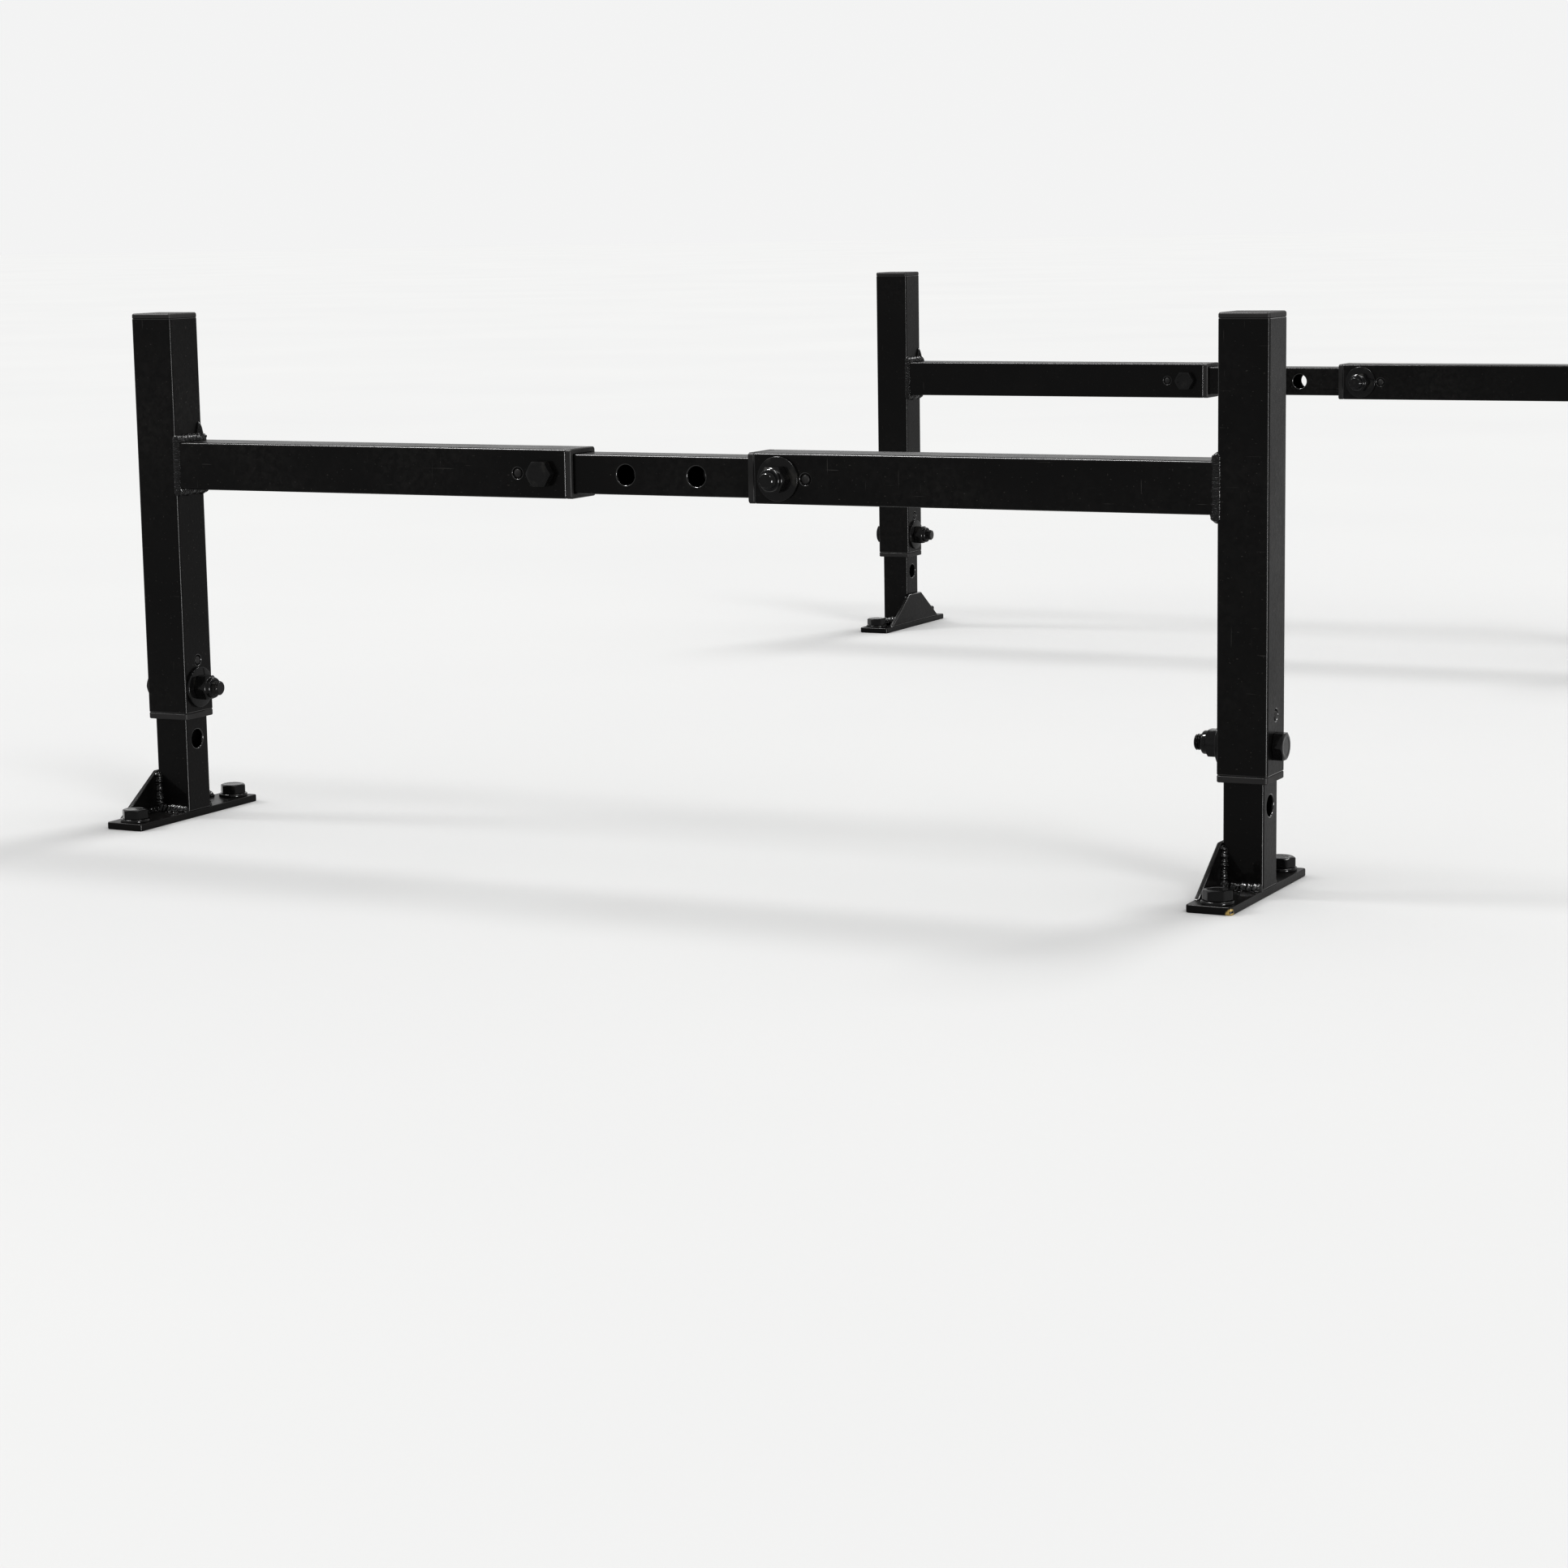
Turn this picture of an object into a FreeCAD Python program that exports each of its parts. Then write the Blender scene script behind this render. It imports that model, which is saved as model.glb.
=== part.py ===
import FreeCAD, Part

import math
import os

Vector = FreeCAD.Vector

# A pair of adjustable H-shaped cross racks, bolted on two parallel rims.
# All sizes are in millimetres. X runs across, Y from the front rack to the rear one, Z up.
# The origin is the middle of the footprint, at the level of the mounting bolts' lower ends.

# --- driving dimensions -----------------------------------------------------------------
UPRIGHT_SPACING = 775.0      # from the left upright's axis to the right one's
RACK_SPACING = 1190.0        # from the front rack's plane to the rear one's
FRAME_TOP = 345.4            # top of the end caps above the mounting plane
CROSSBAR_HEIGHT = 243.2      # the cross bar's axis above the mounting plane
COLLAR_HEIGHT = 69.0         # underside of an upright's collar above the mounting plane

TUBE = 31.75                 # outer square tube, 1 1/4 in
TUBE_WALL = 1.65
TUBE_CORNER = 2.0
INNER_TUBE = 25.4            # sliding square tube, 1 in
INNER_CORNER = 1.8

STUB_GAP = 127.0             # clear run of inner bar between the two collars
BAR_MIDDLE_HOLES = 50.8      # distance between the two free holes at the bar's middle
BAR_PITCH = 25.4             # step of the outward row of holes in the bar
LEG_PITCH = 36.0             # step of the row of holes in a leg
STEPS = 6                    # hole steps in each adjustment's travel
ADJUST_HOLE = 13.0           # bore of an adjustment hole

COLLAR_FLANGE = 4.2          # the plastic collar's flange, as wide as the outer tube
COLLAR_SLEEVE = 46.0         # how far the collar reaches into its tube
SLEEVE_GAP = 0.15            # clearance on each side of the sleeve
BOLT_FROM_TUBE_END = 17.0    # from the tube's open end to its through-bolt
NUB_FROM_BOLT = 18.5         # from that bolt to the collar's snap nub
NUB_RADIUS = 2.8
NUB_CLEARANCE = 0.8          # between a nub and its hole in the outer tube

CAP_FLANGE = 3.2
CAP_PLUG = 13.0

PLATE_LENGTH = 136.0
PLATE_THICKNESS = 4.8
PLATE_CORNER = 2.0
GUSSET_THICKNESS = 3.175
PLATE_WIDTH = INNER_TUBE + GUSSET_THICKNESS   # flush with the leg and with the gusset
GUSSET_HEIGHT = 27.5         # above the base plate
GUSSET_FOOT = 54.0           # half length of the gusset along the plate
GUSSET_TOP = 13.5            # half length of its upper edge
MOUNT_BOLT_OUT = 57.0        # mounting bolts' distance from the leg's axis, along Y

# M10 hex bolts with nylon-insert nuts: the through-bolts are 50 long, with a large washer
BOLT_RADIUS, BOLT_FLATS, BOLT_HEAD, BOLT_LENGTH = 5.0, 16.0, 6.4, 50.0
NUT_HEIGHT, NUT_COLLAR = 11.5, 3.5
WASHER_RADIUS, WASHER_THICKNESS = 14.0, 2.0

# The mounting bolts are 30 long, with a washer on the plate, and a washer and nut under the rim
MOUNT_BOLT_LENGTH = 30.0
MOUNT_BOLT_NECK = 5.25       # radius of the plain neck under the head, through washer and plate
MOUNT_BOLT_THREAD = 4.6      # mean radius of the threaded end
PLATE_WASHER_RADIUS, RIM_WASHER_RADIUS = 10.0, 14.0
RIM = 8.0                    # thickness of the rim that the feet clamp

# --- places that follow from them ---------------------------------------------------------
MOUNT_PLANE = MOUNT_BOLT_LENGTH - PLATE_THICKNESS - WASHER_THICKNESS   # plates' underside
CAP_TOP = MOUNT_PLANE + FRAME_TOP
UPRIGHT_TOP = CAP_TOP - CAP_FLANGE
UPRIGHT_BOTTOM = MOUNT_PLANE + COLLAR_HEIGHT + COLLAR_FLANGE
BAR_Z = MOUNT_PLANE + CROSSBAR_HEIGHT
PLATE_TOP = MOUNT_PLANE + PLATE_THICKNESS
LEG_BOLT_Z = UPRIGHT_BOTTOM + BOLT_FROM_TUBE_END
LEG_TOP = LEG_BOLT_Z + (STEPS - 1) * LEG_PITCH + 15.0
STUB_END = STUB_GAP / 2 + COLLAR_FLANGE                     # tube end, from the middle
STUB_ROOT = (UPRIGHT_SPACING - TUBE) / 2
BAR_BOLT_X = STUB_END + BOLT_FROM_TUBE_END
BAR_HALF = BAR_BOLT_X + STEPS * BAR_PITCH + 13.0
INSIDE = TUBE - 2 * TUBE_WALL
SLEEVE = INSIDE - 2 * SLEEVE_GAP
SLEEVE_BORE = INNER_TUBE + 0.4
OVERRUN = 5.0                # how far a cutting tool passes a face


# --- shared shapes --------------------------------------------------------------------------
def square_bar(side, length, corner):
    """A square bar with rounded long edges, standing on the origin along +Z."""
    bar = Part.makeBox(side, side, length, Vector(-side / 2, -side / 2, 0))
    upright = [e for e in bar.Edges if e.BoundBox.ZLength > length * 0.99]
    return bar.makeFillet(corner, upright)


def square_tube(side, wall, length, corner):
    """A square tube with rounded edges inside and out, along +Z."""
    core = square_bar(side - 2 * wall, length + 2 * OVERRUN, corner - wall + 0.2)
    core.translate(Vector(0, 0, -OVERRUN))
    return square_bar(side, length, corner).cut(core)


def rod(radius, length, base, direction):
    return Part.makeCylinder(radius, length, base, direction)


def cross_hole(shape, radius, at, direction, reach):
    """Drill right through a tube at a point on its axis."""
    return shape.cut(rod(radius, 2 * reach, at - direction * reach, direction))


def hexagon(flats, height):
    """A hexagonal prism on the origin, along +Z, with its far corners chamfered."""
    corner = flats / math.sqrt(3)
    points = [Vector(corner * math.cos(math.radians(60 * k)),
                     corner * math.sin(math.radians(60 * k)), 0) for k in range(7)]
    prism = Part.Face(Part.makePolygon(points)).extrude(Vector(0, 0, height))
    slope = math.tan(math.radians(30))
    rim = flats / 2 * 0.96
    tall = height + rim * slope
    cone = Part.makeCone(rim + tall / slope, rim - (tall - height) / slope + 0.01, tall)
    return prism.common(cone)


def place(shape, base, direction):
    """Turn a shape made along +Z to a direction and move it to a point."""
    turned = shape.copy()
    turned.Placement = FreeCAD.Placement(base, FreeCAD.Rotation(Vector(0, 0, 1), direction))
    return turned


def bolt(base, direction, radius, flats, head, length):
    """A hex bolt whose head's underside is at base and whose shank runs along direction."""
    chamfer = 0.8
    shank = rod(radius, length - chamfer, Vector(0, 0, 0), Vector(0, 0, 1))
    tip = Part.makeCone(radius, radius - chamfer, chamfer, Vector(0, 0, length - chamfer))
    top = hexagon(flats, head)
    top.rotate(Vector(0, 0, 0), Vector(1, 0, 0), 180)
    return place(top.fuse([shank, tip]).removeSplitter(), base, direction)


def nut(base, direction, bore, flats, height, collar):
    """A nylon-insert lock nut, flat face at base and its round collar towards direction."""
    body = hexagon(flats, height - collar)
    ring = rod(flats / 2 * 0.9, collar + 0.5, Vector(0, 0, height - collar - 0.5), Vector(0, 0, 1))
    whole = body.fuse(ring.makeFillet(0.9, [ring.Edges[0]]))
    hole = rod(bore, height + 2 * OVERRUN, Vector(0, 0, -OVERRUN), Vector(0, 0, 1))
    return place(whole.cut(hole).removeSplitter(), base, direction)


def washer(base, direction, outer, inner, thickness):
    disc = rod(outer, thickness, Vector(0, 0, 0), Vector(0, 0, 1))
    disc = disc.makeFillet(0.35, [disc.Edges[0], disc.Edges[2]])
    hole = rod(inner, thickness + 2 * OVERRUN, Vector(0, 0, -OVERRUN), Vector(0, 0, 1))
    return place(disc.cut(hole), base, direction)


def collar(drill):
    """Plastic collar along +Z: flange on the tube's end, thin sleeve and two snap nubs inside.

    The flange's outer face is at the origin. drill is the through-bolt's direction, and the
    nubs stand on the two faces that the bolt passes through.
    """
    flange = square_bar(TUBE, COLLAR_FLANGE, TUBE_CORNER)
    ends = [e for e in flange.Edges if e.BoundBox.ZLength < 0.01]
    flange = flange.makeChamfer(0.5, ends)
    sleeve = square_bar(SLEEVE, COLLAR_FLANGE + COLLAR_SLEEVE, TUBE_CORNER - TUBE_WALL)
    bolt_at = Vector(0, 0, COLLAR_FLANGE + BOLT_FROM_TUBE_END)
    nub_at = bolt_at + Vector(0, 0, NUB_FROM_BOLT)
    nub_reach = TUBE / 2 - 0.5
    nubs = rod(NUB_RADIUS, 2 * nub_reach, nub_at - drill * nub_reach, drill)
    whole = flange.fuse([sleeve, nubs])
    bore = square_bar(SLEEVE_BORE, COLLAR_FLANGE + COLLAR_SLEEVE + 2 * OVERRUN, INNER_CORNER - 0.8)
    bore.translate(Vector(0, 0, -OVERRUN))
    whole = whole.cut(bore)
    return cross_hole(whole, BOLT_RADIUS + 0.6, bolt_at, drill, TUBE).removeSplitter()


def end_cap():
    """Plastic end cap: a flange with eased edges on a hollow plug, flange underside at Z = 0."""
    flange = square_bar(TUBE, CAP_FLANGE, TUBE_CORNER)
    top = [e for e in flange.Edges if e.BoundBox.ZMin > CAP_FLANGE - 0.01]
    flange = flange.makeFillet(1.4, top)
    plug = square_bar(SLEEVE, CAP_PLUG + 0.5, TUBE_CORNER - TUBE_WALL)
    plug.translate(Vector(0, 0, -CAP_PLUG))
    hollow = square_bar(SLEEVE - 4.0, CAP_PLUG + OVERRUN, 1.0)
    hollow.translate(Vector(0, 0, -CAP_PLUG - OVERRUN))
    return flange.fuse(plug).cut(hollow).removeSplitter()


# --- the pieces of one side's frame -----------------------------------------------------------
def drilled_outer_tube(length, drill):
    """Outer tube along +Z, its open end at the origin, drilled for the bolt and the nubs."""
    tube = square_tube(TUBE, TUBE_WALL, length, TUBE_CORNER)
    bolt_at = Vector(0, 0, BOLT_FROM_TUBE_END)
    tube = cross_hole(tube, BOLT_RADIUS + 0.4, bolt_at, drill, TUBE)
    nub_at = bolt_at + Vector(0, 0, NUB_FROM_BOLT)
    return cross_hole(tube, NUB_RADIUS + NUB_CLEARANCE, nub_at, drill, TUBE)


def through_bolt_set(axis_point, head_direction):
    """Bolt, washer and nut through an outer tube; the head is on the head_direction side."""
    half = TUBE / 2
    shank = head_direction * -1
    head_at = axis_point + head_direction * half
    washer_at = axis_point + shank * half
    nut_at = washer_at + shank * WASHER_THICKNESS
    return (bolt(head_at, shank, BOLT_RADIUS, BOLT_FLATS, BOLT_HEAD, BOLT_LENGTH),
            washer(washer_at, shank, WASHER_RADIUS, BOLT_RADIUS + 0.3, WASHER_THICKNESS),
            nut(nut_at, shank, BOLT_RADIUS + 0.05, BOLT_FLATS, NUT_HEIGHT, NUT_COLLAR))


def frame_parts(side, rack_y):
    """The fixed half of a rack: side is -1 for left and 1 for right."""
    x = side * UPRIGHT_SPACING / 2
    across, along_y, up = Vector(1, 0, 0), Vector(0, 1, 0), Vector(0, 0, 1)
    outward = across * side

    upright = drilled_outer_tube(UPRIGHT_TOP - UPRIGHT_BOTTOM, across)
    upright.translate(Vector(x, rack_y, UPRIGHT_BOTTOM))

    stub = drilled_outer_tube(STUB_ROOT - STUB_END, along_y)
    stub = place(stub, Vector(side * STUB_END, rack_y, BAR_Z), outward)

    leg_collar = collar(across)
    leg_collar.translate(Vector(x, rack_y, UPRIGHT_BOTTOM - COLLAR_FLANGE))
    bar_collar = place(collar(along_y), Vector(side * STUB_GAP / 2, rack_y, BAR_Z), outward)

    cap = end_cap()
    cap.translate(Vector(x, rack_y, UPRIGHT_TOP))

    leg_set = through_bolt_set(Vector(x, rack_y, LEG_BOLT_Z), outward)
    bar_set = through_bolt_set(Vector(side * BAR_BOLT_X, rack_y, BAR_Z), along_y * side)
    bolts, washers, nuts = (Part.makeCompound(pair) for pair in zip(leg_set, bar_set))
    return {"upright": upright, "crossbar_sleeve": stub, "leg_collar": leg_collar,
            "crossbar_collar": bar_collar, "end_cap": cap, "through_bolts": bolts,
            "washers": washers, "lock_nuts": nuts}


# --- the pieces of one foot --------------------------------------------------------------------
def foot_parts(side, rack_y, gusset_side):
    """The sliding leg with its welded foot; the gusset is on the gusset_side face of the leg."""
    x = side * UPRIGHT_SPACING / 2
    across, up, down = Vector(1, 0, 0), Vector(0, 0, 1), Vector(0, 0, -1)

    leg = square_tube(INNER_TUBE, TUBE_WALL, LEG_TOP - PLATE_TOP, INNER_CORNER)
    for step in range(-1, STEPS):
        at = Vector(0, 0, LEG_BOLT_Z + step * LEG_PITCH - PLATE_TOP)
        leg = cross_hole(leg, ADJUST_HOLE / 2, at, across, INNER_TUBE)
    leg.translate(Vector(x, rack_y, PLATE_TOP))

    bolt_y = [rack_y - MOUNT_BOLT_OUT, rack_y + MOUNT_BOLT_OUT]

    plate_x = x + (gusset_side * GUSSET_THICKNESS - PLATE_WIDTH) / 2
    plate = Part.makeBox(PLATE_WIDTH, PLATE_LENGTH, PLATE_THICKNESS,
                         Vector(plate_x, rack_y - PLATE_LENGTH / 2, MOUNT_PLANE))
    upright_edges = [e for e in plate.Edges if e.BoundBox.ZLength > PLATE_THICKNESS * 0.99]
    plate = plate.makeFillet(PLATE_CORNER, upright_edges)
    for y in bolt_y:
        plate = plate.cut(rod(MOUNT_BOLT_NECK + 0.5, 2 * OVERRUN + PLATE_THICKNESS,
                              Vector(x, y, MOUNT_PLANE - OVERRUN), up))

    face_x = x + gusset_side * INNER_TUBE / 2
    outline = [(-GUSSET_FOOT, 0), (GUSSET_FOOT, 0), (GUSSET_TOP, GUSSET_HEIGHT),
               (-GUSSET_TOP, GUSSET_HEIGHT), (-GUSSET_FOOT, 0)]
    corners = [Vector(face_x, rack_y + y, PLATE_TOP + z) for y, z in outline]
    gusset = Part.Face(Part.makePolygon(corners)).extrude(across * gusset_side * GUSSET_THICKNESS)

    bolts, washers, nuts = [], [], []
    for y in bolt_y:
        head_at = Vector(x, y, PLATE_TOP + WASHER_THICKNESS)
        rim_under = Vector(x, y, MOUNT_PLANE - RIM)
        bolts.append(mounting_bolt(head_at))
        washers.append(washer(Vector(x, y, PLATE_TOP), up, PLATE_WASHER_RADIUS,
                              MOUNT_BOLT_NECK + 0.1, WASHER_THICKNESS))
        washers.append(washer(rim_under, down, RIM_WASHER_RADIUS, BOLT_RADIUS + 0.2,
                              WASHER_THICKNESS))
        nuts.append(nut(rim_under + down * WASHER_THICKNESS, down, MOUNT_BOLT_THREAD + 0.05,
                        BOLT_FLATS, NUT_HEIGHT, NUT_COLLAR))
    return {"leg": leg, "base_plate": plate, "gusset": gusset,
            "mounting_bolts": Part.makeCompound(bolts),
            "mounting_washers": Part.makeCompound(washers),
            "mounting_nuts": Part.makeCompound(nuts)}


def mounting_bolt(head_at):
    """Bolt down through washer, plate and rim: neck, plain shank and threaded end."""
    down = Vector(0, 0, -1)
    neck_length = PLATE_THICKNESS + WASHER_THICKNESS
    head = hexagon(BOLT_FLATS, BOLT_HEAD)
    head.translate(head_at)
    neck = rod(MOUNT_BOLT_NECK, neck_length, head_at, down)
    shank = rod(BOLT_RADIUS, RIM, head_at + down * neck_length, down)
    thread_length = MOUNT_BOLT_LENGTH - neck_length - RIM
    thread = rod(MOUNT_BOLT_THREAD, thread_length, head_at + down * (neck_length + RIM), down)
    return head.fuse([neck, shank, thread]).removeSplitter()


def inner_bar(rack_y):
    """The bar that joins the two halves, free to slide in both collars."""
    bar = square_tube(INNER_TUBE, TUBE_WALL, 2 * BAR_HALF, INNER_CORNER)
    bar = place(bar, Vector(-BAR_HALF, rack_y, BAR_Z), Vector(1, 0, 0))
    row = [BAR_MIDDLE_HOLES / 2] + [BAR_BOLT_X + k * BAR_PITCH for k in range(STEPS + 1)]
    for x in row:
        for side in (-1, 1):
            bar = cross_hole(bar, ADJUST_HOLE / 2, Vector(side * x, rack_y, BAR_Z),
                             Vector(0, 1, 0), INNER_TUBE)
    return bar


# --- the assembly -------------------------------------------------------------------------------
# The gussets of the front rack's feet face -X and those of the rear rack's feet face +X.
RACKS = {"front": (-RACK_SPACING / 2, -1), "rear": (RACK_SPACING / 2, 1)}
SIDES = {"left": -1, "right": 1}


def main():
    os.makedirs("parts", exist_ok=True)
    nodes = {}
    for rack, (rack_y, gusset_side) in RACKS.items():
        nodes[f"{rack}_inner_bar"] = inner_bar(rack_y)
        for name, side in SIDES.items():
            pieces = {**frame_parts(side, rack_y), **foot_parts(side, rack_y, gusset_side)}
            for piece, shape in pieces.items():
                nodes[f"{rack}_{name}_{piece}"] = shape
    for node, shape in nodes.items():
        if not shape.isValid():
            raise ValueError(f"{node} is not a valid shape")
        shape.exportStep(f"parts/{node}.step")
    print(len(nodes), "nodes")


main()
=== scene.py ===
import math
import random

import bpy
from mathutils import Matrix, Vector


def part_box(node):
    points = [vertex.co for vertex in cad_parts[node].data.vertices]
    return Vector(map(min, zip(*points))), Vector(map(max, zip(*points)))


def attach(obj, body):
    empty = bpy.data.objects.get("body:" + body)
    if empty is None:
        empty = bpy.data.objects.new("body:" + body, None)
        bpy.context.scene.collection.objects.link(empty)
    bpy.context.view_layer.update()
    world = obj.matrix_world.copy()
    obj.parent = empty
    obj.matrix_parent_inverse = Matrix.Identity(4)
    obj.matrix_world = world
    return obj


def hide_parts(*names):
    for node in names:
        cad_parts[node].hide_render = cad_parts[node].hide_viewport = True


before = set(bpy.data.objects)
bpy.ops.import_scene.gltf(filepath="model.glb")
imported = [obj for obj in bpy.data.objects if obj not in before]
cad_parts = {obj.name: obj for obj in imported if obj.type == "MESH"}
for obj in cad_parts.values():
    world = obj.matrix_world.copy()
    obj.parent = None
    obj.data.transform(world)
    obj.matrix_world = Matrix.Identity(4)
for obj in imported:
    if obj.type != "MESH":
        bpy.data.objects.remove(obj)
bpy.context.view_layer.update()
random.seed(11)

# A pair of adjustable ladder racks. Lengths are in metres; MM turns millimetres into them.
MM = 0.001
X, Y, Z = Vector((1, 0, 0)), Vector((0, 1, 0)), Vector((0, 0, 1))

RACKS = {"front": -1, "rear": 1}      # and the side of the legs that carries the gusset
SIDES = {"left": -1, "right": 1}      # and the way out along X

# Where the fasteners sit on the tubes and plates, as in the CAD
BOLT_FROM_TUBE_END = 17.0 * MM
NUB_FROM_BOLT = 18.5 * MM
NUB_RADIUS = 2.75 * MM
NUB_DOME = 0.95 * MM                  # its rounded end, which starts below the tube's face
NUB_SUNK = 0.6 * MM
MOUNT_BOLT_OUT = 57.0 * MM
RIM = 8.0 * MM

EDGE_EASE = 0.75 * MM                 # round on the steel parts' edges
CREASE = math.radians(35)             # sharper edges than this aren't shaded smooth
KNOCK_RADIUS = 4.5 * MM               # of the chip at the near right foot's corner

# The mounting bolts' heads are turned by these angles at random. At others, a flat of the head
# could stand at 45 degrees and mirror the light for the uprights' edges.
HEAD_TURN = (math.radians(-22), math.radians(-8))

# M10 fasteners: through-bolts with large washers, and shorter bolts that clamp the feet
THROUGH_BOLT = {"radius": 5.0 * MM, "flats": 16.0 * MM, "head": 6.4 * MM, "length": 50.0 * MM,
                "pitch": 1.5 * MM, "thread": 16.0 * MM}
MOUNTING_BOLT = dict(THROUGH_BOLT, length=30.0 * MM, thread=14.5 * MM)
LARGE_WASHER = {"outer": 14.0 * MM, "bore": 5.3 * MM, "thickness": 2.0 * MM}
PLATE_WASHER = dict(LARGE_WASHER, outer=10.0 * MM, bore=5.4 * MM)
LOCK_NUT = {"bore": 5.05 * MM, "flats": 16.0 * MM, "height": 11.5 * MM, "collar": 3.5 * MM}

ROUND_OF_HEXAGON = 0.475              # radius of the chamfer's round end, over the flats
AROUND = 72                           # points round a turned shape
THREAD_AROUND = 36
THREAD_STEPS = 8                      # rings in each turn of a thread


# --- materials ------------------------------------------------------------------------------
POWDER_GLOSS = {"specular": 0.14, "coat": 0.22}
PEEL_SCALE = 430.0
PEEL_RELIEF = 0.16 * MM


class Recipe:
    """A material built of procedural nodes on object coordinates, which are the frame's."""

    def __init__(self, name, specular, coat=0.0):
        self.material = bpy.data.materials.new(name)
        self.material.use_nodes = True
        self.tree = self.material.node_tree
        self.shader = self.tree.nodes["Principled BSDF"]
        self.shader.inputs["Specular IOR Level"].default_value = specular
        self.shader.inputs["Coat Weight"].default_value = coat
        self.place = self.tree.nodes.new("ShaderNodeTexCoord").outputs["Object"]
        self.normal = None

    def noise(self, scale, detail=2.0, stretch=(1, 1, 1), distortion=0.0, tilt=0.0):
        """Noise of about 1/scale metres between its bumps."""
        mapping = self.tree.nodes.new("ShaderNodeMapping")
        mapping.inputs["Scale"].default_value = stretch
        mapping.inputs["Rotation"].default_value = (0.0, tilt, 0.0)
        self.tree.links.new(self.place, mapping.inputs["Vector"])
        texture = self.tree.nodes.new("ShaderNodeTexNoise")
        texture.inputs["Scale"].default_value = scale
        texture.inputs["Detail"].default_value = detail
        texture.inputs["Distortion"].default_value = distortion
        self.tree.links.new(mapping.outputs["Vector"], texture.inputs["Vector"])
        return texture.outputs["Fac"]

    def range(self, value, start, end, low=0.0, high=1.0):
        """The value, moved from start..end to low..high and held there outside."""
        node = self.tree.nodes.new("ShaderNodeMapRange")
        for socket, number in zip(("From Min", "From Max", "To Min", "To Max"),
                                  (start, end, low, high)):
            node.inputs[socket].default_value = number
        self.tree.links.new(value, node.inputs["Value"])
        return node.outputs["Result"]

    def math(self, operation, first, second):
        node = self.tree.nodes.new("ShaderNodeMath")
        node.operation = operation
        for socket, value in zip(node.inputs, (first, second)):
            if isinstance(value, (int, float)):
                socket.default_value = value
            else:
                self.tree.links.new(value, socket)
        return node.outputs["Value"]

    def mix(self, factor, first, second):
        """A colour between two; each is a colour or a socket."""
        node = self.tree.nodes.new("ShaderNodeMix")
        node.data_type = "RGBA"
        self.tree.links.new(factor, node.inputs["Factor"])
        colour_inputs = [s for s in node.inputs if s.type == "RGBA"]
        for socket, value in zip(colour_inputs, (first, second)):
            if isinstance(value, tuple):
                socket.default_value = (*value, 1.0)
            else:
                self.tree.links.new(value, socket)
        return next(s for s in node.outputs if s.type == "RGBA")

    def bump(self, height, depth, strength=1.0):
        """Relief of the given depth in metres, added to what is there already."""
        node = self.tree.nodes.new("ShaderNodeBump")
        node.inputs["Distance"].default_value = depth
        node.inputs["Strength"].default_value = strength
        self.tree.links.new(height, node.inputs["Height"])
        if self.normal:
            self.tree.links.new(self.normal, node.inputs["Normal"])
        self.normal = node.outputs["Normal"]

    def near(self, point, distance):
        """1 near a point, 0 from a distance on, with a soft border."""
        node = self.tree.nodes.new("ShaderNodeVectorMath")
        node.operation = "DISTANCE"
        self.tree.links.new(self.place, node.inputs[0])
        node.inputs[1].default_value = point
        return self.range(node.outputs["Value"], distance, 0.8 * distance)

    def scratches(self, scale, rarity):
        """Mask of sparse, fine, nearly straight scratches along the tubes."""
        along_bars = self.noise(scale, detail=0.0, stretch=(0.028, 0.7, 1.0), tilt=0.05)
        along_legs = self.noise(scale, detail=0.0, stretch=(1.0, 0.7, 0.03), tilt=-0.04)
        return self.range(self.math("MAXIMUM", along_bars, along_legs), rarity, rarity + 0.03)

    def finish(self, colour, roughness):
        """Join the sockets for colour and roughness, and the relief, to the shader."""
        self.tree.links.new(colour, self.shader.inputs["Base Color"])
        self.tree.links.new(roughness, self.shader.inputs["Roughness"])
        if self.normal:
            self.tree.links.new(self.normal, self.shader.inputs["Normal"])
        return self.material


def make_powder_coat():
    """Semi-gloss black powder coat: orange peel, cloudy sheen, specks and a few fine scratches."""
    m = Recipe("powder_coat_black", **POWDER_GLOSS)
    peel = m.noise(PEEL_SCALE, detail=2.0)
    grain = m.noise(1900.0, detail=1.0)
    cloud = m.noise(26.0, detail=4.0)
    haze = m.range(m.noise(8.0, detail=3.0), 0.42, 0.66)
    mottle = m.range(m.noise(240.0, detail=3.0, distortion=0.5), 0.35, 0.75)
    speck = m.range(m.noise(760.0, detail=0.0), 0.78, 0.84)
    worn = m.scratches(1500.0, 0.87)
    colour = m.mix(cloud, (0.0008, 0.0007, 0.0008), (0.0034, 0.0030, 0.0028))
    colour = m.mix(m.math("MULTIPLY", haze, mottle), colour, (0.0115, 0.0108, 0.0102))
    colour = m.mix(speck, colour, (0.030, 0.028, 0.026))
    colour = m.mix(worn, colour, (0.045, 0.043, 0.041))
    rough = m.math("ADD", m.range(cloud, 0.3, 0.7, 0.27, 0.37), m.range(peel, 0.3, 0.7, 0.0, 0.06))
    m.bump(peel, PEEL_RELIEF, 0.55)
    m.bump(grain, 0.03 * MM, 0.5)
    return m.finish(colour, m.math("ADD", rough, m.math("MULTIPLY", worn, 0.15)))


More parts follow.
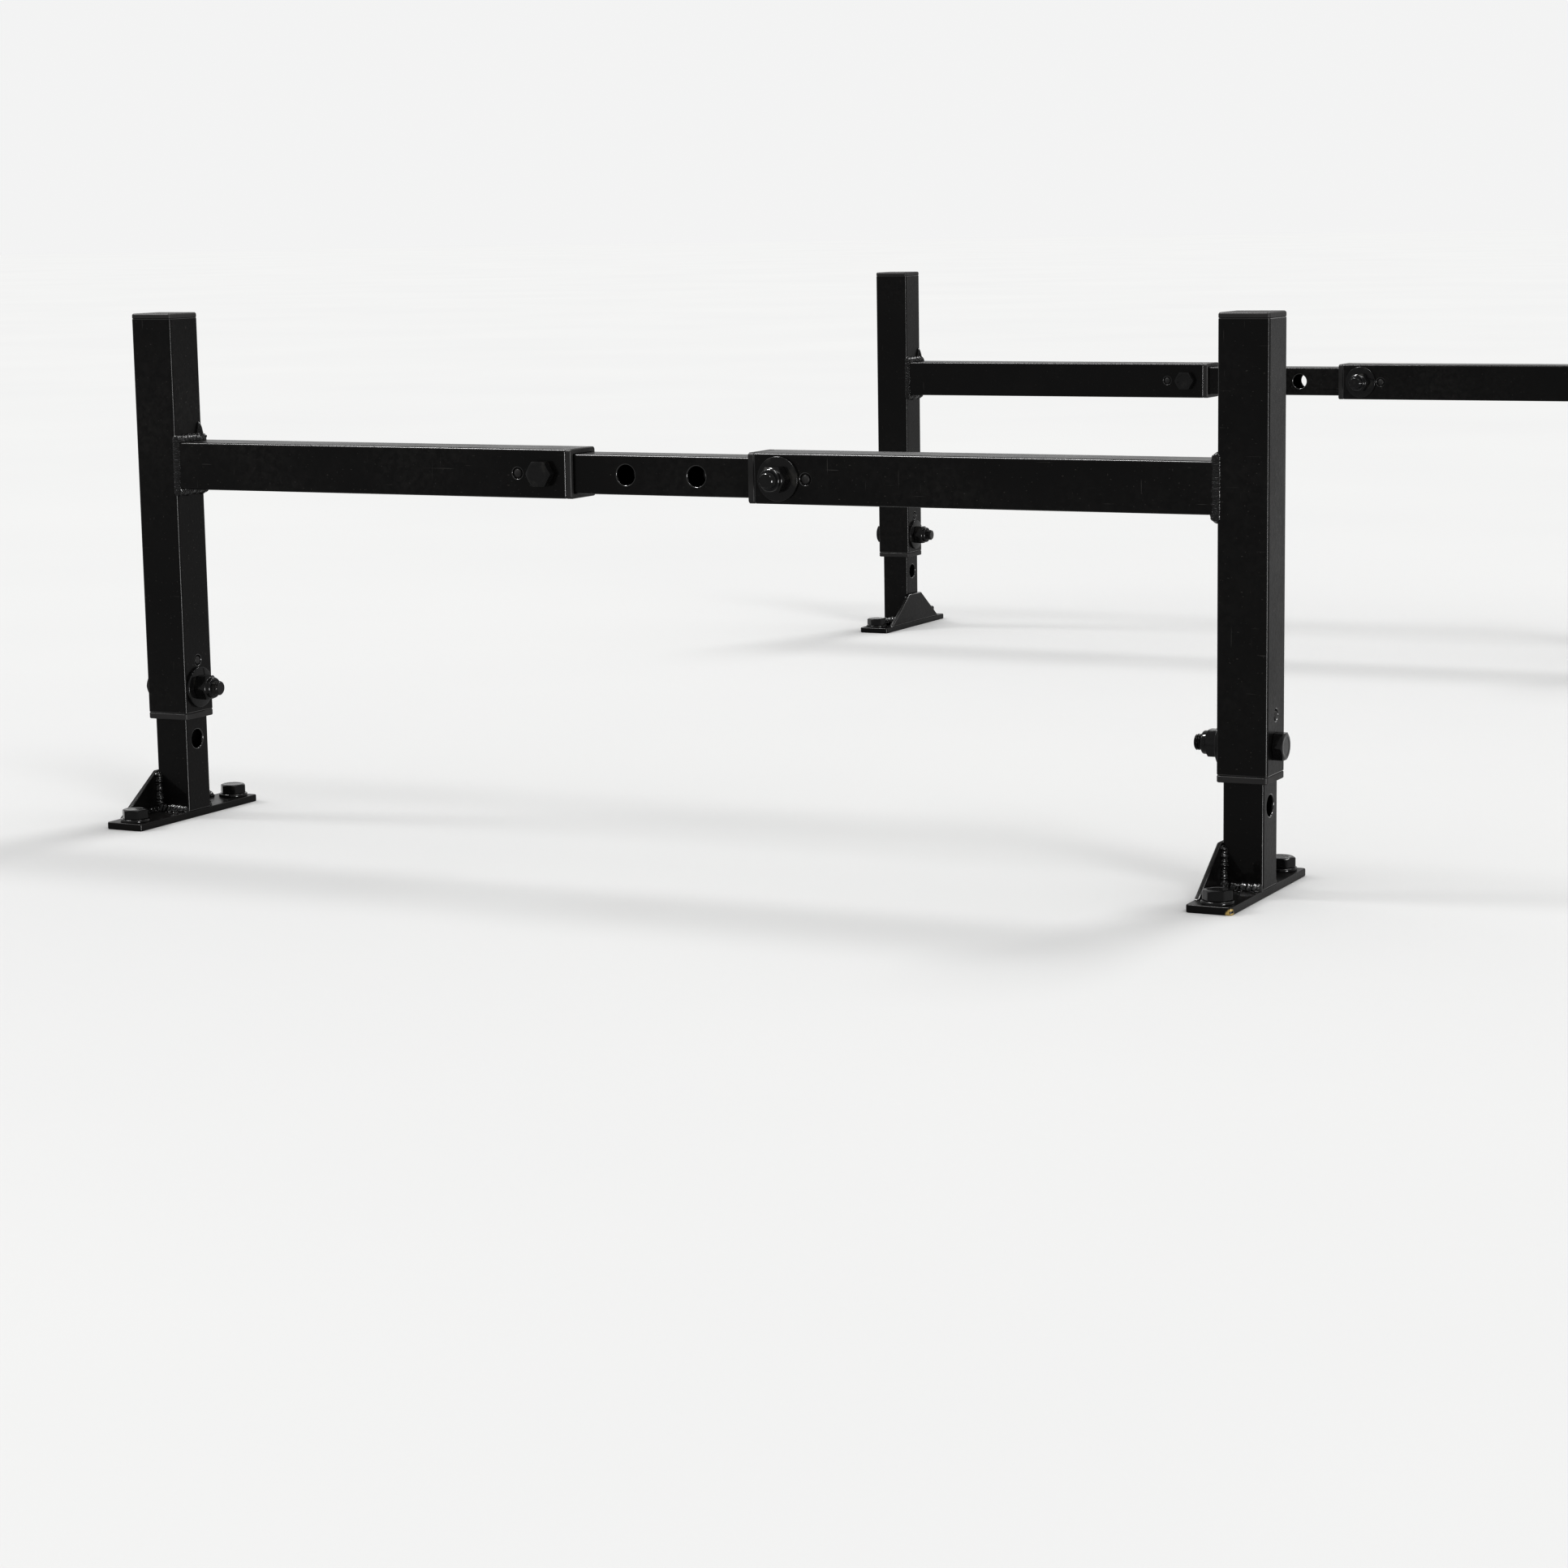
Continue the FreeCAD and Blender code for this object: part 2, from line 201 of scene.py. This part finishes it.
def make_edge_coat():
    """The coat on the tubes' rounds, where it has run thin and set smooth and glossy."""
    m = Recipe("powder_coat_edge", specular=0.5, coat=1.0)
    peel = m.noise(PEEL_SCALE, detail=2.0)
    worn = m.noise(90.0, detail=4.0)
    colour = m.mix(worn, (0.0016, 0.0015, 0.0016), (0.0080, 0.0074, 0.0070))
    m.bump(peel, PEEL_RELIEF, 0.4)
    return m.finish(colour, m.range(worn, 0.3, 0.7, 0.16, 0.26))


def make_chipped_coat(knocked_corner):
    """The coat on the base plates, with a few brassy chips and one at a knocked corner."""
    m = Recipe("powder_coat_chipped", **POWDER_GLOSS)
    peel = m.noise(PEEL_SCALE, detail=2.0)
    cloud = m.noise(30.0, detail=4.0)
    chip = m.range(m.noise(85.0, detail=3.0, distortion=0.4), 0.74, 0.76)
    ragged = m.range(m.noise(420.0, detail=3.0), 0.40, 0.46)
    knock = m.math("MULTIPLY", m.near(knocked_corner, KNOCK_RADIUS), ragged)
    chip = m.math("MAXIMUM", chip, knock)
    colour = m.mix(cloud, (0.0016, 0.0015, 0.0016), (0.0056, 0.0050, 0.0047))
    colour = m.mix(chip, colour, (0.30, 0.23, 0.10))
    m.bump(peel, PEEL_RELIEF, 0.55)
    m.bump(m.math("SUBTRACT", 1.0, chip), 0.12 * MM, 0.7)
    rough = m.math("ADD", m.range(cloud, 0.3, 0.7, 0.27, 0.39), m.math("MULTIPLY", chip, 0.15))
    return m.finish(colour, rough)


def make_weld():
    """Weld metal under the same coat, glossier, with ripples and pits."""
    m = Recipe("coated_weld", specular=0.12, coat=0.7)
    ripple = m.noise(520.0, detail=3.0)
    pits = m.noise(1500.0, detail=2.0)
    colour = m.mix(ripple, (0.0015, 0.0015, 0.0016), (0.0055, 0.0050, 0.0048))
    colour = m.mix(m.range(pits, 0.70, 0.76), colour, (0.03, 0.028, 0.026))
    m.bump(ripple, 1.6 * MM)
    m.bump(pits, 0.8 * MM)
    return m.finish(colour, m.range(pits, 0.3, 0.7, 0.06, 0.14))


def make_black_plastic():
    """Moulded charcoal plastic with a fine spark-eroded grain and faint flow marks."""
    m = Recipe("moulded_black_plastic", specular=0.35)
    grain = m.noise(2600.0, detail=2.0)
    flow = m.noise(60.0, detail=3.0, stretch=(1.0, 1.0, 3.0), distortion=0.8)
    scuff = m.scratches(1300.0, 0.88)
    colour = m.mix(flow, (0.016, 0.0155, 0.0155), (0.030, 0.029, 0.0285))
    colour = m.mix(scuff, colour, (0.07, 0.07, 0.07))
    m.bump(grain, 0.04 * MM, 0.6)
    m.bump(flow, 0.1 * MM, 0.25)
    return m.finish(colour, m.range(flow, 0.3, 0.7, 0.42, 0.54))


def make_hardware():
    """Black zinc on steel: darker in the hollows, thin and greyer in patches."""
    m = Recipe("black_zinc_steel", specular=0.16, coat=0.45)
    patch = m.noise(300.0, detail=4.0)
    grain = m.noise(2200.0, detail=2.0)
    thin = m.range(m.noise(120.0, detail=3.0), 0.60, 0.74)
    colour = m.mix(patch, (0.0022, 0.0022, 0.0024), (0.0085, 0.0082, 0.0082))
    colour = m.mix(thin, colour, (0.022, 0.021, 0.019))
    m.bump(patch, 0.1 * MM, 0.6)
    m.bump(grain, 0.03 * MM, 0.5)
    return m.finish(colour, m.range(patch, 0.3, 0.7, 0.14, 0.28))


def make_nylon():
    """Dark nylon of the lock nuts' rings."""
    m = Recipe("nut_insert_nylon", specular=0.35)
    tone = m.noise(500.0, detail=2.0)
    colour = m.mix(tone, (0.016, 0.016, 0.018), (0.030, 0.030, 0.033))
    m.bump(tone, 0.05 * MM, 0.5)
    return m.finish(colour, m.range(tone, 0.3, 0.7, 0.4, 0.5))


def make_floor():
    """Matt pale floor, without gloss so that it meets the background unseen."""
    m = Recipe("pale_floor", specular=0.0)
    tone = m.noise(1.2, detail=3.0)
    colour = m.mix(tone, (0.69, 0.69, 0.69), (0.72, 0.72, 0.715))
    return m.finish(colour, m.range(tone, 0.3, 0.7, 0.8, 0.9))


# --- meshes ---------------------------------------------------------------------------------
class Shape:
    """Vertices and faces of one piece, gathered part by part. Parts are made along +Z."""

    def __init__(self):
        self.points, self.faces, self.stuff = [], [], []

    def rings(self, rings, place, stuff=0, closed=False, capped=False):
        """Skin rings of points; closed joins the last to the first, capped fills both ends."""
        base, count = len(self.points), len(rings[0])
        for ring in rings:
            self.points += [place @ Vector(p) for p in ring]
        last = len(rings) if closed else len(rings) - 1
        for i in range(last):
            a, b = base + i * count, base + (i + 1) % len(rings) * count
            for k in range(count):
                n = (k + 1) % count
                self.faces.append((a + k, a + n, b + n, b + k))
                self.stuff.append(stuff)
        if capped:
            top = base + (len(rings) - 1) * count
            self.faces.append(tuple(base + k for k in reversed(range(count))))
            self.faces.append(tuple(top + k for k in range(count)))
            self.stuff += [stuff, stuff]

    def piece(self, name, body, materials, slot, replaced=()):
        """Make the Blender object, riding on a CAD body, in place of the replaced nodes."""
        mesh = bpy.data.meshes.new(name)
        mesh.from_pydata(self.points, [], self.faces)
        for material in materials:
            mesh.materials.append(material)
        mesh.polygons.foreach_set("material_index", self.stuff)
        mesh.shade_smooth()
        mesh.set_sharp_from_angle(angle=CREASE)
        mesh.update()
        obj = bpy.data.objects.new(name, mesh)
        bpy.context.scene.collection.objects.link(obj)
        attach(obj, body)
        if replaced:
            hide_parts(*replaced)
        return obj


def facing(origin, direction):
    """Matrix that takes a shape made along +Z to a place, pointing in a direction."""
    turn = Vector(direction).to_track_quat("Z", "Y").to_matrix().to_4x4()
    return Matrix.Translation(origin) @ turn


def turned(profile, around=AROUND):
    """Rings of a shape turned on a lathe, from (radius, height) pairs."""
    return [polar(lambda angle, r=r: r, lambda angle, z=z: z, around) for r, z in profile]


def polar(radius, height, around=AROUND):
    """One ring whose radius and height are functions of the angle."""
    angles = [math.tau * k / around for k in range(around)]
    return [(radius(a) * math.cos(a), radius(a) * math.sin(a), height(a)) for a in angles]


def hexagon_radius(flats):
    """Distance from the axis to a hexagon with eased corners, as a function of the angle."""
    sector = math.radians(60)
    eased = 0.567 * flats
    return lambda angle: min(flats / 2 / math.cos(angle % sector - sector / 2), eased)


def hexagon_end(flats, height, up):
    """Height of a hexagon's end that faces up (1) or down (-1), cut by a 30 degree cone."""
    radius = hexagon_radius(flats)
    round_radius = ROUND_OF_HEXAGON * flats
    slope = math.tan(math.radians(30))
    return lambda angle: height - up * max(0.0, radius(angle) - round_radius) * slope


def add_bolt(shape, place, bolt):
    """Hex bolt from the head's underside at the origin, its shank along +Z."""
    flats, head = bolt["flats"], bolt["head"]
    seat = 0.35 * MM
    hexagon = hexagon_radius(flats)
    dish = 0.2 * MM
    rings = turned([(0.3 * flats, -head + dish), (0.33 * flats, -head + dish),
                    (0.37 * flats, -head), (ROUND_OF_HEXAGON * flats, -head)])
    rings += [polar(hexagon, hexagon_end(flats, -head, -1)), polar(hexagon, lambda angle: -seat)]
    rings += turned([(0.472 * flats, -seat), (0.46 * flats, 0.0), (bolt["radius"], 0.0)])
    shape.rings(rings, place, capped=True)
    add_shank(shape, place, bolt)


def add_shank(shape, place, bolt):
    """Plain shank, then a real helical thread with a chamfered tip."""
    radius, length, pitch = bolt["radius"], bolt["length"], bolt["pitch"]
    depth, tip = 0.6 * pitch, 0.9 * MM
    plain = length - bolt["thread"]
    rings = turned([(radius, 0.0), (radius, plain - pitch)], THREAD_AROUND)
    steps = round(bolt["thread"] / pitch * THREAD_STEPS)
    for step in range(steps + 1):
        z = min(plain + step * pitch / THREAD_STEPS, length)
        narrowed = max(0.0, z - (length - tip))

        def radius_at(angle, z=z, narrowed=narrowed):
            phase = (z / pitch - angle / math.tau) % 1.0
            groove = min(1.0, max(0.0, 1.3 - 2.6 * abs(phase - 0.5)))
            return min(radius - depth * groove, radius - narrowed)

        rings.append(polar(radius_at, lambda angle, z=z: z, THREAD_AROUND))
    shape.rings(rings, place, capped=True)


def add_nut(shape, place, nut):
    """Lock nut with its seat at the origin: chamfered hexagon, rolled collar, nylon ring."""
    flats, height, bore = nut["flats"], nut["height"], nut["bore"]
    shoulder = height - nut["collar"]
    hexagon = hexagon_radius(flats)
    outside = turned([(bore + 0.5 * MM, 0.0), (ROUND_OF_HEXAGON * flats, 0.0)])
    outside += [polar(hexagon, hexagon_end(flats, 0.0, -1)),
                polar(hexagon, hexagon_end(flats, shoulder, 1))]
    collar = 0.445 * flats
    lip = bore + 1.3 * MM
    outside += turned([(ROUND_OF_HEXAGON * flats, shoulder),
                       (collar + 0.3 * MM, shoulder + 0.1 * MM),
                       (collar, shoulder + 0.5 * MM), (collar, height - 1.0 * MM),
                       (collar - 0.3 * MM, height - 0.35 * MM), (collar - 0.9 * MM, height),
                       (lip, height - 0.05 * MM), (lip, height - 0.6 * MM),
                       (bore, height - 0.7 * MM), (bore, 0.6 * MM)])
    shape.rings(outside, place, closed=True)
    ring = turned([(bore - 0.15 * MM, height - 0.8 * MM), (bore, height - 0.5 * MM),
                   (lip - 0.1 * MM, height - 0.4 * MM), (lip - 0.1 * MM, height - 0.7 * MM)])
    shape.rings(ring, place, stuff=1, closed=True)


def add_washer(shape, place, washer):
    """Stamped washer: rolled edge above, sharp edge below."""
    outer, bore, thick = washer["outer"], washer["bore"], washer["thickness"]
    ease = 0.3 * MM
    profile = [(bore, ease), (bore + ease, 0.0), (outer - ease / 2, 0.0), (outer, ease / 2),
               (outer, thick - 2 * ease), (outer - 0.3 * ease, thick - ease),
               (outer - ease, thick - 0.3 * ease), (outer - 2 * ease, thick),
               (bore + ease, thick), (bore, thick - ease)]
    shape.rings(turned(profile), place, closed=True)


# --- weld beads -----------------------------------------------------------------------------
WELD_VOXEL = 0.42 * MM
ROOT_DEPTH = 1.1 * MM         # how far a bead reaches into each of the metals it joins
ROOTS = (ROOT_DEPTH, ROOT_DEPTH)
PUDDLE_STEP = 2.1 * MM
PEAK_RISE = {-1: 13.0 * MM, 1: 8.0 * MM}      # of the high spot on each side's joint
SPATTER_COUNT = 14                            # droplets beside each bead on a plate


def add_puddle(shape, centre, first, second, legs, roots, half_length):
    """One solidified puddle of a bead, between two surfaces that meet at its centre.

    first and second are the directions out of the corner along the two surfaces, legs the
    reach along them and roots the reach the other way, into the metal.
    """
    run = first.cross(second)
    across, along = 16, 10
    power = 1.7               # 2 would give an ellipsoid, 1 a bead with flat faces
    rings = []
    for j in range(1, along):
        polar_angle = math.pi * j / along
        ring = []
        for k in range(across):
            a = math.tau * k / across
            u = math.sin(polar_angle) * math.cos(a)
            v = math.sin(polar_angle) * math.sin(a)
            w = math.cos(polar_angle)
            size = (abs(u) ** power + abs(v) ** power + abs(w) ** power) ** (-1 / power)
            reach_u = legs[0] if u > 0 else roots[0]
            reach_v = legs[1] if v > 0 else roots[1]
            ring.append(centre + size * (u * reach_u * first + v * reach_v * second
                                         + w * half_length * run))
        rings.append(ring)
    shape.rings(rings, Matrix.Identity(4), capped=True)


def add_bead(shape, start, end, first, second, legs, roots=ROOTS, step=PUDDLE_STEP):
    """A row of overlapping puddles from start to end, none quite like its neighbour."""
    length = (end - start).length
    count = max(2, round(length / step))
    for k in range(count + 1):
        jitter = random.uniform(-0.2, 0.2) * step
        centre = start.lerp(end, k / count) + (end - start).normalized() * jitter
        size = random.uniform(0.84, 1.12)
        reach = (legs[0] * size * random.uniform(0.94, 1.06), legs[1] * size)
        add_puddle(shape, centre, first, second, reach, roots, step * random.uniform(0.95, 1.3))


def add_spatter(shape, start, end, first, second, count):
    """Droplets of weld on the surface along first, within a few millimetres of the bead."""
    for _ in range(count):
        centre = start.lerp(end, random.random()) + first * random.uniform(4.0, 9.0) * MM
        radius = random.uniform(0.55, 1.15) * MM
        add_puddle(shape, centre, first, second, (radius, radius), (radius, 0.6 * MM), radius)


def weld_piece(shape, name, body):
    """Fuse the puddles into one skin."""
    obj = shape.piece(name, body, [weld], "powder_coat")
    fuse = obj.modifiers.new("fuse", "REMESH")
    fuse.mode = "VOXEL"
    fuse.voxel_size = WELD_VOXEL
    fuse.use_smooth_shade = True
    soften = obj.modifiers.new("soften", "SMOOTH")
    soften.factor = 0.5
    soften.iterations = 2


def frame_weld(prefix, side):
    """Bead all round the joint of crossbar sleeve and upright, with a high spot on top."""
    low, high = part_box(f"{prefix}_crossbar_sleeve")
    root = high.x if side > 0 else low.x
    along_bar = -side * X
    middle_y, half = (low.y + high.y) / 2, (high.y - low.y) / 2
    end_gap = 1.6 * MM
    shape = Shape()
    for surface, direction in ((high.z, Z), (low.z, -Z)):
        start = Vector((root, middle_y - half + end_gap, surface))
        end = Vector((root, middle_y + half - end_gap, surface))
        add_bead(shape, start, end, along_bar, direction, (5.0 * MM, 5.2 * MM))
    for facing_y in (-1, 1):
        y = middle_y + facing_y * (half - 0.35 * MM)
        start = Vector((root, y, low.z - 2.0 * MM))
        end = Vector((root, y, high.z + 2.0 * MM))
        add_bead(shape, start, end, along_bar, facing_y * Y, (3.9 * MM, 1.35 * MM),
                 roots=(2.4 * MM, 1.2 * MM))
    peak = Vector((root, high.y - 4.0 * MM, high.z))
    add_puddle(shape, peak, along_bar, Z, (4.0 * MM, PEAK_RISE[side]), ROOTS, 3.2 * MM)
    weld_piece(shape, f"{prefix}_frame_weld", f"{prefix}_frame")


def foot_weld(prefix, gusset_side, body):
    """Beads between leg and base plate, gusset and base plate, and gusset and leg.

    The leg's face opposite the gusset is flush with the plate's edge and has no bead.
    """
    low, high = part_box(f"{prefix}_leg")
    plate_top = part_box(f"{prefix}_base_plate")[1].z
    gusset_low, gusset_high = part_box(f"{prefix}_gusset")
    away = -gusset_side * X
    shape = Shape()

    open_face = low.x if gusset_side > 0 else high.x
    welded_face = high.x if gusset_side > 0 else low.x
    corner, top_gap, tip_gap = 2.4 * MM, 3.0 * MM, 7.0 * MM
    for y, direction in ((low.y, -Y), (high.y, Y)):
        plate_start = Vector((open_face - away.x * corner, y, plate_top))
        plate_end = Vector((welded_face, y, plate_top))
        add_bead(shape, plate_start, plate_end, direction, Z, (4.6 * MM, 5.0 * MM))
        add_spatter(shape, plate_start, plate_end, direction, Z, SPATTER_COUNT)
        tip_y = gusset_low.y if direction.y < 0 else gusset_high.y
        add_bead(shape, Vector((welded_face, y, plate_top)),
                 Vector((welded_face, tip_y - direction.y * tip_gap, plate_top)),
                 away, Z, (3.2 * MM, 3.8 * MM), step=2.4 * MM)
        seam_y = y - direction.y * 0.6 * MM
        add_bead(shape, Vector((welded_face, seam_y, plate_top + 2.0 * MM)),
                 Vector((welded_face, seam_y, gusset_high.z - top_gap)),
                 away, direction, (4.0 * MM, 4.2 * MM), roots=(ROOT_DEPTH, 0.8 * MM))
    weld_piece(shape, f"{prefix}_foot_weld", body)


# --- fasteners ------------------------------------------------------------------------------
def through_bolt_set(sets, axis_point, head_direction, half_tube):
    """Bolt with its head on one face of an outer tube, washer and nut on the other."""
    bolts, washers, nuts = sets
    shank = -head_direction
    far_face = axis_point + shank * half_tube
    add_bolt(bolts, facing(axis_point + head_direction * half_tube, shank), THROUGH_BOLT)
    add_washer(washers, facing(far_face, shank), LARGE_WASHER)
    add_nut(nuts, facing(far_face + shank * LARGE_WASHER["thickness"], shank), LOCK_NUT)


def frame_fasteners(prefix, side):
    """The two through-bolts of one side's frame and the snap nubs of its two collars."""
    low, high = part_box(f"{prefix}_upright")
    half_tube = (high.x - low.x) / 2
    axis = (low + high) / 2
    sleeve_low, sleeve_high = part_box(f"{prefix}_crossbar_sleeve")
    sleeve_end = sleeve_low.x if side > 0 else sleeve_high.x
    leg_bolt = Vector((axis.x, axis.y, low.z + BOLT_FROM_TUBE_END))
    bar_bolt = Vector((sleeve_end + side * BOLT_FROM_TUBE_END, axis.y,
                       (sleeve_low.z + sleeve_high.z) / 2))
    sets = Shape(), Shape(), Shape()
    through_bolt_set(sets, leg_bolt, side * X, half_tube)
    through_bolt_set(sets, bar_bolt, side * Y, half_tube)
    body = f"{prefix}_frame"
    names = ("through_bolts", "washers", "lock_nuts")
    for shape, name in zip(sets, names):
        shape.piece(f"{prefix}_{name}_detail", body, [hardware, nylon], "black_hardware",
                    [f"{prefix}_{name}"])

    nubs = Shape()
    for at, drill in ((leg_bolt + Z * NUB_FROM_BOLT, X), (bar_bolt + side * X * NUB_FROM_BOLT, Y)):
        for direction in (-1, 1):
            seat = at + drill * direction * (half_tube - NUB_SUNK)
            dome = turned([(NUB_RADIUS * math.cos(a), NUB_DOME * math.sin(a))
                           for a in (0.0, 0.35, 0.7, 1.0, 1.25, 1.45)], 32)
            nubs.rings(dome, facing(seat, drill * direction), capped=True)
    nubs.piece(f"{prefix}_snap_nubs", body, [plastic], "black_plastic")


def mounting_fasteners(prefix, body):
    """The two bolts that clamp a foot on its rim, with washers above and below and nuts."""
    low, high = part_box(f"{prefix}_base_plate")
    leg_low, leg_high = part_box(f"{prefix}_leg")
    x = (leg_low.x + leg_high.x) / 2
    bolts, washers, nuts = Shape(), Shape(), Shape()
    for end in (-1, 1):
        y = (low.y + high.y) / 2 + end * MOUNT_BOLT_OUT
        head_seat = Vector((x, y, high.z + PLATE_WASHER["thickness"]))
        rim_under = Vector((x, y, low.z - RIM))
        turn = Matrix.Rotation(random.uniform(*HEAD_TURN), 4, "Z")
        add_bolt(bolts, facing(head_seat, -Z) @ turn, MOUNTING_BOLT)
        add_washer(washers, facing(Vector((x, y, high.z)), Z), PLATE_WASHER)
        add_washer(washers, facing(rim_under, -Z), LARGE_WASHER)
        add_nut(nuts, facing(rim_under - Z * LARGE_WASHER["thickness"], -Z), LOCK_NUT)
    for shape, name in ((bolts, "mounting_bolts"), (washers, "mounting_washers"),
                        (nuts, "mounting_nuts")):
        shape.piece(f"{prefix}_{name}_detail", body, [hardware, nylon], "black_hardware",
                    [f"{prefix}_{name}"])


# --- CAD nodes ------------------------------------------------------------------------------
def dress_node(name, node):
    """Give a CAD node its material, and ease the sharp edges of the steel parts.

    The rounds have the glossier edge coat, except on the base plates, whose coat is chipped.
    """
    if name.endswith(("collar", "end_cap")):
        material = plastic
    elif name.endswith("base_plate"):
        material = chipped
    elif name.endswith(("bolts", "washers", "nuts")):
        material = hardware
    else:
        material = coat
    for slot in node.material_slots:
        slot.material = material
    if name.endswith(("base_plate", "gusset", "upright", "sleeve", "leg", "inner_bar")):
        # The flats are made whole first, so that the rounds and their shading stay even.
        weld_points = node.modifiers.new("weld_points", "WELD")
        weld_points.merge_threshold = 0.01 * MM
        flats = node.modifiers.new("whole_flats", "DECIMATE")
        flats.decimate_type = "DISSOLVE"
        flats.angle_limit = math.radians(0.5)
        ease = node.modifiers.new("ease", "BEVEL")
        ease.width = EDGE_EASE
        ease.segments = 3
        ease.angle_limit = math.radians(55)
        ease.use_clamp_overlap = False
        if material is coat:
            node.data.materials.append(edge)
            ease.material = len(node.data.materials) - 1
        even = node.modifiers.new("even_shading", "WEIGHTED_NORMAL")
        even.weight = 80
        even.keep_sharp = False


# --- stage ----------------------------------------------------------------------------------
def make_floor_plane(height):
    """Round floor at the level of the rims that the feet stand on."""
    radius, sides = 40.0, 64
    mesh = bpy.data.meshes.new("floor")
    corners = [(radius * math.cos(a), radius * math.sin(a), height)
               for a in (math.tau * k / sides for k in range(sides))]
    mesh.from_pydata(corners, [], [tuple(range(len(corners)))])
    mesh.materials.append(make_floor())
    floor = bpy.data.objects.new("floor", mesh)
    bpy.context.scene.collection.objects.link(floor)
    return floor


def make_sun(name, toward, irradiance, angle, off_floor=None):
    """A distant soft box whose light travels along toward, evenly over the whole scene.

    Its width as seen from the racks is an angle in degrees. With off_floor, a collection that
    leaves the floor out, it lights the racks alone.
    """
    data = bpy.data.lights.new(name, "SUN")
    data.energy = irradiance
    data.angle = math.radians(angle)
    light = bpy.data.objects.new(name, data)
    light.matrix_world = facing(Vector((0, 0, 3)), -Vector(toward))
    bpy.context.scene.collection.objects.link(light)
    if off_floor:
        light.light_linking.receiver_collection = off_floor
        light.light_linking.blocker_collection = off_floor


def make_studio(floor):
    """Even, pale studio whose sky and floor are equally bright, with soft boxes for highlights."""
    world = bpy.data.worlds.new("studio")
    world.use_nodes = True
    background = world.node_tree.nodes["Background"]
    background.inputs["Color"].default_value = (1.0, 1.0, 1.0, 1.0)
    background.inputs["Strength"].default_value = 0.93
    bpy.context.scene.world = world
    make_sun("overhead_back", (-0.15, -0.75, -1.0), 0.86, 16.0)
    make_sun("left", (1.0, 0.25, -0.8), 0.48, 14.0)
    make_sun("right_front", (-0.75, 0.55, -1.0), 0.36, 14.0)

    # Highlights on the tubes' edges. The second light comes from just below the floor's level.
    off_floor = bpy.data.collections.new("off_floor")
    off_floor.objects.link(floor)
    off_floor.collection_objects[0].light_linking.link_state = "EXCLUDE"
    make_sun("top_edges", (0.44, 0.10, -0.88), 5.5, 20.0, off_floor)
    make_sun("upright_edges", (-0.88, 0.44, 0.16), 2.6, 20.0, off_floor)
    make_sun("far_top_edges", (-0.44, -0.05, -0.88), 2.8, 20.0, off_floor)

    # Hard contrast, as in the photograph
    tone = bpy.context.scene.view_settings
    tone.view_transform = "Standard"
    tone.gamma = 0.68


def make_camera():
    """The photograph's camera: place, aim and lens from a fit to the racks' edges."""
    yaw, pitch, roll = (math.radians(a) for a in (26.65, 9.18, -0.92))
    forward = Vector((-math.sin(yaw) * math.cos(pitch), math.cos(yaw) * math.cos(pitch),
                      -math.sin(pitch)))
    right = Vector((math.cos(yaw), math.sin(yaw), 0))
    up = right.cross(forward)
    rolled_right = right * math.cos(roll) + up * math.sin(roll)
    rolled_up = up * math.cos(roll) - right * math.sin(roll)
    data = bpy.data.cameras.new("camera")
    data.lens = 82.0
    camera = bpy.data.objects.new("camera", data)
    turn = Matrix((rolled_right, rolled_up, -forward)).transposed().to_4x4()
    camera.matrix_world = Matrix.Translation((1.080, -2.593, 0.4330)) @ turn
    bpy.context.scene.collection.objects.link(camera)
    bpy.context.scene.camera = camera


# --- build ----------------------------------------------------------------------------------
foot_low, foot_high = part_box("front_right_base_plate")
foot_corner = (foot_high.x, foot_low.y, foot_low.z)
coat, edge = make_powder_coat(), make_edge_coat()
chipped, weld = make_chipped_coat(foot_corner), make_weld()
plastic, hardware, nylon = make_black_plastic(), make_hardware(), make_nylon()

for node_name, node_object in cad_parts.items():
    dress_node(node_name, node_object)

for rack, gusset_on in RACKS.items():
    for side_name, side_sign in SIDES.items():
        corner_name = f"{rack}_{side_name}"
        foot_body = "left_feet" if side_name == "left" else f"{corner_name}_foot"
        frame_fasteners(corner_name, side_sign)
        mounting_fasteners(corner_name, foot_body)
        frame_weld(corner_name, side_sign)
        foot_weld(corner_name, gusset_on, foot_body)

make_studio(make_floor_plane(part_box("front_left_base_plate")[0].z))
make_camera()
